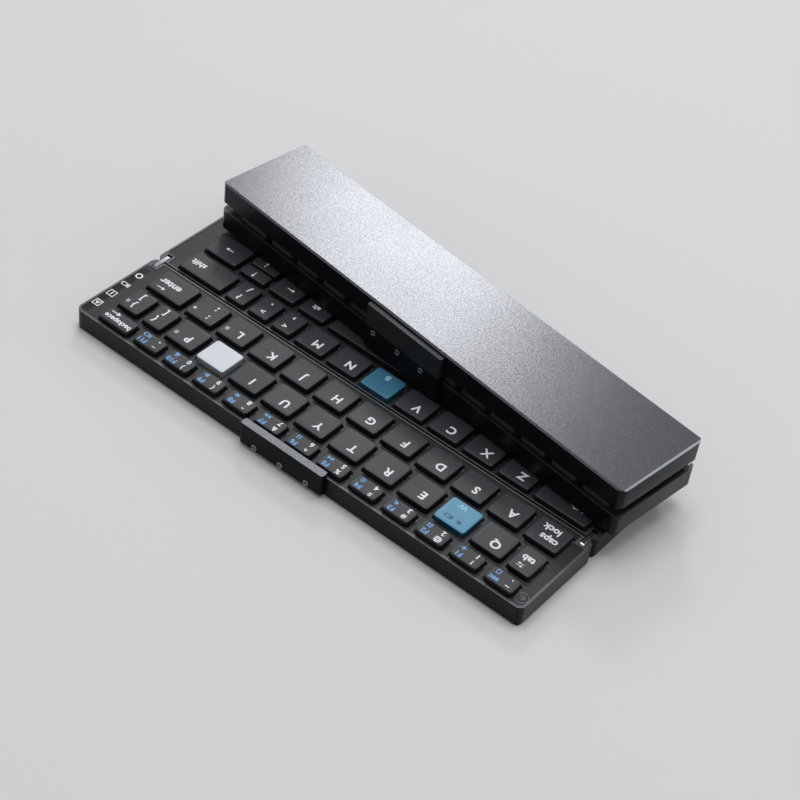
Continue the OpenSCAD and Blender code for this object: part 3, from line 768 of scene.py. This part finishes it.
def contact_studs(name, spots, body, replaced=(), place=here):
    """Contacts on the clasp's face: a half-round ring of radius STUD_R about a sunk dark middle."""
    ring = half_round(STUD_R, STUD_HALF, STUD_RISE, 0.02)
    profile = [(0.05, -0.12), (0.50, -0.14), (0.62, -0.10)] + ring + [(STUD_OUT, -0.04), (STUD_OUT, -0.50)]
    steps, dark_bands = 32, 3
    points, faces = lathe(profile, steps)
    # The dark middle is the first bands of faces and the first end
    sunk = [1] * dark_bands * steps + [0] * (len(profile) - 1 - dark_bands) * steps + [1, 0]
    x, z, y = points.T
    turned = np.column_stack([x, y, z])
    parts = [(turned + (sx, CLASP_FACE_Y, sz), faces) for sx, sz in spots]
    vertices, all_faces = merged(parts)
    return add_piece(name, place(vertices), all_faces, [PLATED, SOCKET], body, replaced, sunk * len(spots),
                     smooth_angle=35)


contact_studs("clasp_contact_studs", CLASP_CONTACTS, "far_leaf", ["clasp_contacts"])
contact_studs("second_contact_studs", SECOND_CONTACTS, "second_far_leaf", place=second)

# The power button: a shallow dish and a ring groove in its top
button_profile = [(0.05, BUTTON_TOP - 0.05), (0.9, BUTTON_TOP - 0.03), (1.12, BUTTON_TOP),
                  (1.2, BUTTON_TOP - 0.12), (1.32, BUTTON_TOP - 0.12), (1.4, BUTTON_TOP),
                  (BUTTON_R - 0.1, BUTTON_TOP - 0.01), (BUTTON_R, BUTTON_TOP - 0.12), (BUTTON_R, BUTTON_FOOT)]
points, faces = lathe(button_profile, 40)
add_piece("power_button_cap", points + (BUTTON_X, BUTTON_Y, 0), faces, [DECK_EDGE], "power_button",
          ["power_button"], smooth_angle=35)

# A half-round ring on the deck about the button, sunk by a hair
points, faces = lathe(half_round(BEZEL_R, BEZEL_HALF, BEZEL_RISE, DECK_TOP - 0.02), 48, closed=True)
add_piece("power_button_bezel", points + (BUTTON_X, BUTTON_Y, 0), faces, [BRIGHT_EDGE], "far_leaf",
          smooth_angle=60)

# The hinge pins: turned along x, with a chamfered head at the outer end
pin_profile = [(0.05, PIN_HALF), (0.42, PIN_HALF), (PIN_R, PIN_HALF - 0.18), (PIN_R, -PIN_HALF),
               (0.05, -PIN_HALF)]
points, faces = lathe(pin_profile, 24)
z, y, x = points.T
pins = [(np.column_stack([side * (PIN_X + x), HINGE_Y + row * PIVOT_HALF + y, PIVOT_Z + z]), faces)
        for side in (-1, 1) for row in (-1, 1)]
points, faces = merged(pins)
add_piece("hinge_pins_turned", points, faces, [STEEL], BODY_OF["hinge_pins"], ["hinge_pins"], smooth_angle=35)

# The inner pieces show as they are, with a material of their own
for leaf in ("far", "near"):
    dress(nodes[f"{leaf}_board"].data, [BOARD])
    dress(nodes[f"{leaf}_switch_sheet"].data, [FILM])
dress(nodes["battery"].data, [FOIL])


# ---------------------------------------------------------------- floor, light, camera
def by_ray(tree, lighting, seen):
    """One value for the rays that light the object, and another for those that show a surface."""
    rays = tree.nodes.new("ShaderNodeLightPath")
    total = rays.outputs["Is Camera Ray"]
    for other in ("Is Glossy Ray", "Is Transmission Ray"):
        add = tree.nodes.new("ShaderNodeMath")
        add.operation = "ADD"
        add.use_clamp = True
        tree.links.new(total, add.inputs[0])
        tree.links.new(rays.outputs[other], add.inputs[1])
        total = add.outputs["Value"]
    level = tree.nodes.new("ShaderNodeMapRange")
    level.inputs["To Min"].default_value = lighting
    level.inputs["To Max"].default_value = seen
    tree.links.new(total, level.inputs["Value"])
    return level.outputs["Result"]


FLOOR_HALF, FLOOR_Z, FLOOR_GREY, SKY = 4, -0.0001, (0.72, 0.72, 0.73), (0.93, 0.95, 0.98)
LIGHTING, FLOOR_SEEN, SKY_SEEN = 0.40, 0.72, 0.62

floor_mesh = bpy.data.meshes.new("floor")
floor_corners = [(x * FLOOR_HALF, y * FLOOR_HALF, FLOOR_Z) for x, y in ((-1, -1), (1, -1), (1, 1), (-1, 1))]
floor_mesh.from_pydata(floor_corners, [], [(0, 1, 2, 3)])
floor = add_object("floor", floor_mesh)
paint = Finish("floor_paint", FLOOR_GREY, 0.8)
paint.color(by_ray(paint.tree, LIGHTING, FLOOR_SEEN))
floor_mesh.materials.append(paint.material)

world = bpy.data.worlds.new("studio")
bpy.context.scene.world = world
world.use_nodes = True
tree = world.node_tree
background = tree.nodes["Background"]
background.inputs["Color"].default_value = (*SKY, 1)
tree.links.new(by_ray(tree, LIGHTING, SKY_SEEN), background.inputs["Strength"])


def softbox(name, place, aim, size, radiance):
    """An area light; its power is radiance times pi times its area."""
    lamp = bpy.data.lights.new(name, "AREA")
    lamp.shape = "RECTANGLE"
    lamp.size, lamp.size_y = size
    lamp.energy = radiance * math.pi * size[0] * size[1]
    thing = add_object(name, lamp)
    thing.location = place
    thing.rotation_euler = (Vector(aim) - Vector(place)).to_track_quat("-Z", "Y").to_euler()
    return thing


MIDDLE = (0.0, -0.04, 0.02)
SLAB_SHEEN, SLAB_END = (0.044, -0.088, 0.035), (-0.11, -0.06, 0.03)
softbox("overhead_softbox", (0.1, -0.3, 2.0), MIDDLE, (1.2, 1.2), 4.2)
softbox("sheen_softbox", (0.97, -1.46, 1.34), SLAB_SHEEN, (0.39, 0.39), 13.0)
softbox("edge_strip", (-0.95, -0.87, 0.40), SLAB_END, (0.5, 0.15), 6.0)

# The camera looks down from beyond the far edge. Its focal length is in pixels of an 800 pixel frame, and it
# is turned from looking straight down by TILT about x, LEAN about y and TURN about z, in degrees.
FRAME, FOCAL, SENSOR = 800, 1961.5, 36.0
CAMERA_PLACE = (-0.3218, 0.4295, 0.5285)
TILT, LEAN, TURN = 46.532, -5.918, -140.498
camera_data = bpy.data.cameras.new("camera")
camera = add_object("camera", camera_data)
camera_data.sensor_width = SENSOR
camera_data.lens = SENSOR * FOCAL / FRAME
camera_data.clip_start, camera_data.clip_end = 0.01, 50
camera_turn = Euler([math.radians(angle) for angle in (TILT, LEAN, TURN)])
camera.matrix_world = Matrix.Translation(CAMERA_PLACE) @ camera_turn.to_matrix().to_4x4()
bpy.context.scene.camera = camera
bpy.context.scene.view_settings.view_transform = "Standard"
